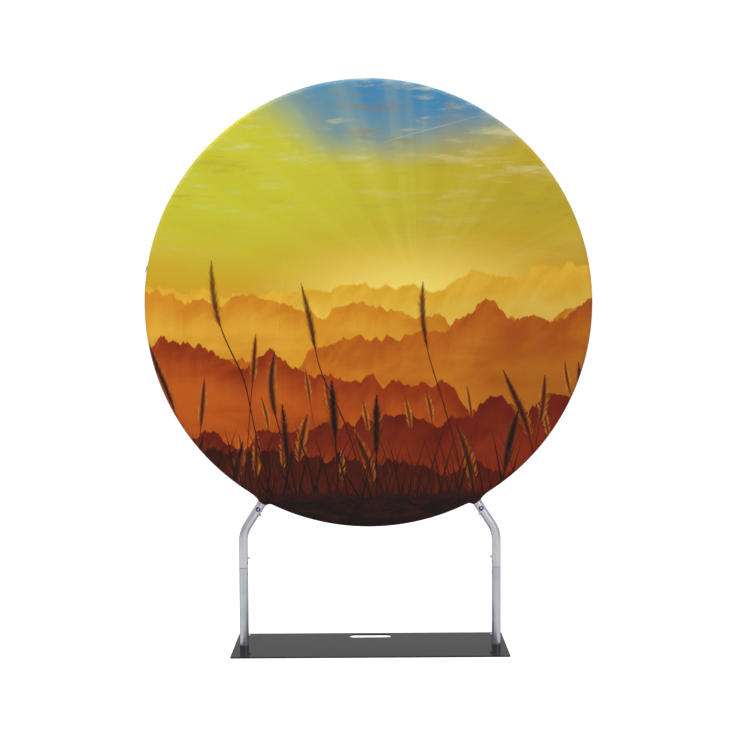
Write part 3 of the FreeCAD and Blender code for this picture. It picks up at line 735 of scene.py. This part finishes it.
def neck_piece(side, finish):
    """Collar of the cover round a stub: runs down from both faces to its mouth, with a turned hem."""
    start, up, across = neck_frame(side)
    rows = [(NECK_BARE + height, thick, 0.0) for height, thick in HEM]
    hem_top = rows[-1][0]
    rim = NECK_BARE + NECK_LENGTH + FLARE_DEPTH
    for level in range(1, COLLAR_LEVELS + 1):
        share = level / COLLAR_LEVELS
        rows.append((hem_top + (rim - hem_top) * share, 0.0, COLLAR_FLARE * share ** 2))
    rows += [(rim + COVER_RADIUS * share, 0.0, COLLAR_FLARE) for share in COLLAR_TUCK]
    verts = []
    for height, thick, flare in rows:
        depth = NECK_RADIUS + thick
        sway = COLLAR_WAVE * min(1.0, 2 * flare / COLLAR_FLARE)
        for k, (a, b) in enumerate(collar_section(depth + flare, depth)):
            wave = 1 + sway * math.sin(k * COLLAR_WAVE_TURN)
            verts.append(start + up * height + across * a + Vector((0, b * wave, 0)))
    ring = 2 * COLLAR_POINTS
    faces = []
    for level in range(len(rows) - 1):
        faces += band(level * ring, (level + 1) * ring, ring)
    if SIDES[side] > 0:
        faces = turned(faces)
    return mesh_piece("cover_neck_" + side, verts, faces, finish)


def bar(start, end, out, width, height):
    """Eight corners and six faces of a short bar lying on a surface, its top narrowed like a stitch."""
    along = (end - start).normalized()
    side = along.cross(out).normalized()
    corners = []
    for point, pull in ((start, 1), (end, -1)):
        for way in (-1, 1):
            corners.append(point + side * (way * width / 2))
            corners.append(point + side * (way * width / 3) + out * height + along * (pull * height))
    faces = [(2, 3, 1, 0), (5, 7, 6, 4), (1, 5, 4, 0), (6, 7, 3, 2), (3, 7, 5, 1), (4, 6, 2, 0)]
    return corners, faces


def stitches(name, runs, finish):
    """One mesh of stitches, each given as (start, end, outward)."""
    verts, faces = [], []
    for start, end, out in runs:
        corners, sides = bar(start, end, out, STITCH_WIDTH, STITCH_HEIGHT)
        faces += [tuple(i + len(verts) for i in f) for f in sides]
        verts += corners
    return mesh_piece(name, verts, faces, finish)


def rim_axes(angle):
    """Outward direction of the rim at the seam, and the way across the seam to the back."""
    out = polar(angle) * math.cos(SEAM_ANGLE) + Vector((0, math.sin(SEAM_ANGLE), 0))
    back = Vector((0, math.cos(SEAM_ANGLE), 0)) - polar(angle) * math.sin(SEAM_ANGLE)
    return out, back


def on_rim(angle, off_seam, height=0.0):
    """Point of the rim, off_seam metres round it from the seam to the back, and its outward direction."""
    roll = SEAM_ANGLE + off_seam / COVER_RADIUS
    out = polar(angle) * math.cos(roll) + Vector((0, math.sin(roll), 0))
    return CENTRE + polar(angle) * RING_RADIUS + out * (COVER_RADIUS + height), out


def near_neck(angle):
    return min(abs(math.remainder(angle - a, 2 * math.pi)) for a in NECK_ANGLES.values()) < NECK_CLEAR


def in_zip(angle):
    return ZIP_TOP - ZIP_END <= angle % (2 * math.pi) <= ZIP_TOP + ZIP_TRAVEL + ZIP_END


def seam_stitches(finish):
    """Two rows of stitching, one each side of the seam and the zip."""
    runs = []
    count = int(2 * math.pi * DISC_RADIUS / STITCH_PITCH)
    step = 2 * math.pi / count
    for off in (-STITCH_OFFSET, STITCH_OFFSET):
        for k in range(count):
            angle = k * step
            if not near_neck(angle):
                start, out = on_rim(angle, off)
                runs.append((start, on_rim(angle + step * STITCH_SHARE, off)[0], out))
    return stitches("seam_stitches", runs, finish)


def seam_runs(count):
    """Angles along each stretch of the seam that is clear of the necks and the zip."""
    runs, run = [], []
    for k in range(count + 1):
        angle = ZIP_TOP + 2 * math.pi * k / count
        if not near_neck(angle) and not in_zip(angle):
            run.append(angle)
        elif run:
            runs.append(run)
            run = []
    return [run for run in runs if len(run) > 2 * WELT_FADE]


def seam_welt(finish):
    """Low overlocked ridge along the seam where there is no zip, running out at its ends."""
    width = len(WELT_SHAPE)
    verts, faces = [], []
    for run in seam_runs(WELT_STEPS):
        base = len(verts)
        last = len(run) - 1
        for k, angle in enumerate(run):
            wave = 1 + WELT_WAVE * math.sin(k * WELT_WAVE_TURN)
            fade = max(WELT_TIP, min(1.0, k / WELT_FADE, (last - k) / WELT_FADE))
            for off, height in WELT_SHAPE:
                verts.append(on_rim(angle, off * math.sqrt(fade), height * wave * fade)[0])
        for k in range(last):
            faces += band(base + k * width, base + (k + 1) * width, width)
        faces.append(tuple(base + i for i in reversed(range(width))))
        faces.append(tuple(base + last * width + i for i in range(width)))
    return mesh_piece("seam_welt", verts, faces, finish)


def zip_coil(finish):
    """Closed coil on its tapes: teeth of both sides take turns along the seam."""
    start, end = ZIP_TOP - ZIP_END, ZIP_TOP + ZIP_TRAVEL + ZIP_END
    verts, faces = [], []

    def section(angle, side, shape):
        """Points of a shape that stands across the seam, on one side of it."""
        out, back = rim_axes(angle)
        axis = CENTRE + polar(angle) * RING_RADIUS
        return [axis + out * height + back * (side * across) for across, height in shape]

    def add_bar(sections, side):
        """A closed bar through sections of points, with faces that look outwards on either side."""
        base = len(verts)
        corners = len(sections[0])
        made = []
        for k, points in enumerate(sections):
            verts.extend(points)
            if k:
                made += band(base + corners * (k - 1), base + corners * k, corners, other_way=True)
        made.append(tuple(base + i for i in range(corners)))
        made.append(tuple(len(verts) - 1 - i for i in range(corners)))
        faces.extend(made if side < 0 else turned(made))

    tooth = [(across, CHAIN_LOW + share * CHAIN_HEIGHT) for across, share in TOOTH_SHAPE]
    count = int((end - start) * DISC_RADIUS / TOOTH_PITCH)
    step = (end - start) / count
    half = TOOTH_WIDTH / DISC_RADIUS / 2
    for k in range(count):
        for side, place in TOOTH_PLACES.items():
            middle = start + step * (k + place)
            add_bar([section(angle, side, tooth) for angle in (middle - half, middle + half)], side)
    foot = COVER_RADIUS + TAPE_LIFT
    tape = [(TAPE_INNER, CHAIN_LOW), (TAPE_OUTER, CHAIN_LOW), (TAPE_OUTER, foot), (TAPE_INNER, foot)]
    angles = [start + (end - start) * k / TAPE_STEPS for k in range(TAPE_STEPS + 1)]
    for side in TOOTH_PLACES:
        add_bar([section(angle, side, tape) for angle in angles], side)
    return mesh_piece("zip_coil", verts, faces, finish, smooth=False)


def label_places():
    """Centre on the tube's axis, way along the tube, way out, and number, of each label."""
    places = []
    for side, sign in SIDES.items():
        start, up, _ = neck_frame(side)
        places.append((start - up * TOP_LABEL, up, Vector((0, -1, 0)), TOP_NUMBERS[side]))
        for way in (-1, 1):
            spot = Vector((sign * LEG_X, 0, MIDDLE_JOINT_Z + way * MIDDLE_LABEL))
            places.append((spot, Vector((0, 0, 1)), Vector((-sign, 0, 0)), MIDDLE_NUMBERS[side]))
    return places


def wrapped(spot, along, out, a, b, height):
    """Point a metres along a tube and b metres round it, above its surface."""
    turn = b / TUBE_RADIUS
    side = along.cross(out)
    return spot + along * a + (out * math.cos(turn) + side * math.sin(turn)) * (TUBE_RADIUS + height)


def label_films(finish):
    """Thin round films wrapped on the tubes, all in one mesh."""
    verts, faces, flat = [], [], []
    for spot, along, out, _ in label_places():
        for height in (LABEL_GAP + LABEL_FILM, LABEL_GAP):
            base = len(verts)
            verts.append(wrapped(spot, along, out, 0, 0, height))
            flat.append((0.0, 0.0))
            for ring in range(1, LABEL_RINGS + 1):
                for step in range(LABEL_TURNS):
                    a = ring / LABEL_RINGS * math.sin(2 * math.pi * step / LABEL_TURNS)
                    b = ring / LABEL_RINGS * math.cos(2 * math.pi * step / LABEL_TURNS)
                    verts.append(wrapped(spot, along, out, a * LABEL_RADIUS, b * LABEL_RADIUS, height))
                    flat.append((b, a))
            made = [(base, base + 1 + k, base + 1 + (k + 1) % LABEL_TURNS) for k in range(LABEL_TURNS)]
            for ring in range(LABEL_RINGS - 1):
                low = base + 1 + ring * LABEL_TURNS
                made += band(low, low + LABEL_TURNS, LABEL_TURNS, other_way=True)
            faces += made if height > LABEL_GAP else turned(made)
        low_edge = len(verts) - LABEL_TURNS
        top_edge = low_edge - (1 + LABEL_RINGS * LABEL_TURNS)
        faces += band(top_edge, low_edge, LABEL_TURNS, other_way=True)
    made = mesh_piece("label_films", verts, faces, finish)
    layer = made.data.uv_layers.new(name="label")
    for loop in made.data.loops:
        layer.data[loop.index].uv = flat[loop.vertex_index]
    return made


def flat_number(number):
    """Points and faces of a flat number, cut in narrow strips so that it can follow a tube."""
    words = bpy.data.curves.new("number", "FONT")
    words.body = number
    words.size = NUMBER_SIZE
    words.align_x = "CENTER"
    words.align_y = "CENTER"
    carrier = bpy.data.objects.new("number", words)
    shape = bpy.data.meshes.new_from_object(carrier)
    cut = bmesh.new()
    cut.from_mesh(shape)
    bmesh.ops.remove_doubles(cut, verts=cut.verts, dist=NUMBER_WELD)
    strips = round(LABEL_RADIUS / NUMBER_STRIP)
    for k in range(-strips, strips + 1):
        whole = cut.verts[:] + cut.edges[:] + cut.faces[:]
        bmesh.ops.bisect_plane(cut, geom=whole, plane_co=(k * NUMBER_STRIP, 0, 0), plane_no=(1, 0, 0))
    bmesh.ops.remove_doubles(cut, verts=cut.verts, dist=NUMBER_WELD)
    cut.normal_update()
    bmesh.ops.reverse_faces(cut, faces=[face for face in cut.faces if face.normal.z < 0])
    cut.verts.index_update()
    points = [point.co.copy() for point in cut.verts]
    faces = [tuple(point.index for point in face.verts) for face in cut.faces]
    cut.free()
    bpy.data.meshes.remove(shape)
    bpy.data.objects.remove(carrier)
    bpy.data.curves.remove(words)
    return points, faces


def label_numbers(finish):
    """Plain joint numbers, raised as a thin layer of ink on the films."""
    verts, faces = [], []
    for spot, along, out, number in label_places():
        points, shape = flat_number(number)
        base = len(verts)
        for point in points:
            verts.append(wrapped(spot, along, out, point.y, point.x, LABEL_GAP + LABEL_FILM + INK_TOP))
        faces += [tuple(base + i for i in face) for face in shape]
    made = mesh_piece("label_numbers", verts, faces, finish)
    thicken(made, "ink", INK_THICKNESS)
    return made


def flexing_spring(joint):
    """Copy of the U spring with a mesh of its own, carried by its joint's parent body in place of the CAD
    piece.
    """
    node = joint["deforming_nodes"][0]["node"]
    spring = add_object(node + "_leaf", nodes[node].data.copy())
    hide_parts(node)
    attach(spring, joint["parent"])
    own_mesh(spring)


def white_floor():
    """Floor that shows as white and throws less light on the object than it shows."""
    mesh = bpy.data.meshes.new("floor")
    corners = [(x * FLOOR_HALF, y * FLOOR_HALF, 0) for x, y in ((-1, -1), (1, -1), (1, 1), (-1, 1))]
    mesh.from_pydata(corners, [], [(0, 1, 2, 3)])
    floor = add_object("floor", mesh)
    floor.location.z = -FLOOR_DROP
    finish, t, shader = material("floor_white")
    rays = t.node("ShaderNodeLightPath").outputs
    bounced = t.math("MAXIMUM", rays["Is Glossy Ray"], rays["Is Transmission Ray"])
    finish_shader(t, shader, {
        "Base Color": (0.4, 0.4, 0.4, 1),
        "Roughness": 1.0,
        "Specular IOR Level": 0.0,
        "Emission Color": (1, 1, 1, 1),
        "Emission Strength": t.times(t.math("MAXIMUM", rays["Is Camera Ray"], bounced), 0.8),
    })
    mesh.materials.append(finish)


def studio_world():
    """White surroundings that light the object as soft grey, and mirror darker low on the front side."""
    world = bpy.data.worlds.new("studio")
    bpy.context.scene.world = world
    world.use_nodes = True
    t = Tree(world.node_tree)
    rays = t.node("ShaderNodeLightPath").outputs
    seen = t.math("MAXIMUM", rays["Is Camera Ray"], rays["Is Transmission Ray"])
    way = t.parts(t.node("ShaderNodeTexCoord").outputs["Generated"])
    mirrored = t.span(t.add(way[1], t.times(way[2], 0.6)), -0.35, 0.45, 0.36, 1.0)
    lit = t.mix(rays["Is Glossy Ray"], (0.55, 0.55, 0.56, 1), t.joined(mirrored, mirrored, mirrored))
    background = world.node_tree.nodes["Background"]
    t.feed(background.inputs["Color"], t.mix(seen, lit, (1, 1, 1, 1)))


def lamp(name, place, aim, size, power, mirrors):
    """Soft rectangular lamp."""
    data = bpy.data.lights.new(name, "AREA")
    data.shape = "RECTANGLE"
    data.size, data.size_y = size
    data.energy = power
    made = add_object(name, data)
    made.location = place
    made.rotation_euler = (Vector(aim) - Vector(place)).to_track_quat("-Z", "Y").to_euler()
    made.visible_glossy = mirrors


def photo_camera():
    """Camera at the photograph's place and angle."""
    tilt, turn, roll = (math.radians(angle) for angle in CAMERA_ANGLES)
    ahead = Vector((-math.sin(turn) * math.cos(tilt), math.cos(turn) * math.cos(tilt), math.sin(tilt)))
    right = Vector((math.cos(turn), math.sin(turn), 0))
    above = right.cross(ahead)
    across = right * math.cos(roll) + above * math.sin(roll)
    upright = above * math.cos(roll) - right * math.sin(roll)
    data = bpy.data.cameras.new("camera")
    data.sensor_width = CAMERA_SENSOR
    data.lens = CAMERA_LENS
    camera = add_object("camera", data)
    camera.matrix_world = Matrix((across, upright, -ahead)).transposed().to_4x4()
    camera.location = CAMERA_PLACE
    bpy.context.scene.camera = camera


# Finishes of the pieces that the frame brings
finishes = {
    "black_plate": black_plate(),
    "zinc_screw": worn_metal("zinc_screw", srgb(190, 192, 196), srgb(160, 162, 166), 0.3),
    "turned_aluminium": worn_metal("turned_aluminium", srgb(205, 207, 211), srgb(184, 186, 190), 0.26),
    "button_steel": worn_metal("button_steel", srgb(196, 197, 200), srgb(165, 166, 170), 0.24),
    "spring_steel": worn_metal("spring_steel", srgb(150, 152, 158), srgb(118, 120, 128), 0.34),
    "rivet_aluminium": worn_metal("rivet_aluminium", srgb(200, 201, 204), srgb(176, 178, 182), 0.36),
    "zip_metal": worn_metal("zip_metal", srgb(196, 197, 202), srgb(160, 162, 168), 0.22),
    "zip_coil": plain_thread("zip_coil", srgb(46, 36, 26), srgb(26, 20, 16)),
    "label_film": label_film(),
    "satin_tube": drawn_metal("satin_tube", srgb(186, 186, 192), srgb(177, 178, 184), 0.3),
}
lower_tube = drawn_metal("satin_tube_lower", srgb(174, 176, 185), srgb(165, 168, 177), 0.3)
for record_row in frame["record"]["subparts"]:
    piece = nodes[record_row["node"]]
    finish = finishes.get(record_row["material_slot"])
    if finish:
        piece.data.materials.clear()
        piece.data.materials.append(lower_tube if record_row["node"].startswith("lower_leg") else finish)

# Springs, cover, seam, zip and labels
for joint in frame["joints"]:
    if joint["type"] == "slide":
        flexing_spring(joint)

front_print = printed_fabric("printed_front", 1)
back_print = printed_fabric("printed_back", -1)
front = cover_panel("cover_front", -1, FRONT_SWEEP, front_print)
back = cover_panel("cover_back", 1, BACK_SWEEP, back_print)
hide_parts("cover_front_panel")
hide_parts("cover_back_panel")
necks = [neck_piece(side, front_print) for side in SIDES]
thread = plain_thread("seam_thread", srgb(92, 70, 40), srgb(60, 44, 26))
ink = plain_thread("label_ink", srgb(232, 235, 240), srgb(214, 218, 226))
seams = [seam_stitches(thread), seam_welt(back_print)]
coil = zip_coil(finishes["zip_coil"])
films = label_films(finishes["label_film"])
numbers = label_numbers(ink)
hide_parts("zip_chain")
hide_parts("joint_labels")
for piece, slot in [(coil, "zip_coil"), (films, "label_film"), (numbers, "label_film")]:
    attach(piece, "stand")
for piece in seams:
    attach(piece, "stand")
for piece in [front, back] + necks:
    thicken(piece, "cloth", CLOTH)
    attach(piece, "stand")

# Floor, light and camera
white_floor()
studio_world()
for row in LAMPS:
    lamp(*row)
photo_camera()
bpy.context.scene.view_settings.view_transform = "Standard"

bpy.context.view_layer.update()
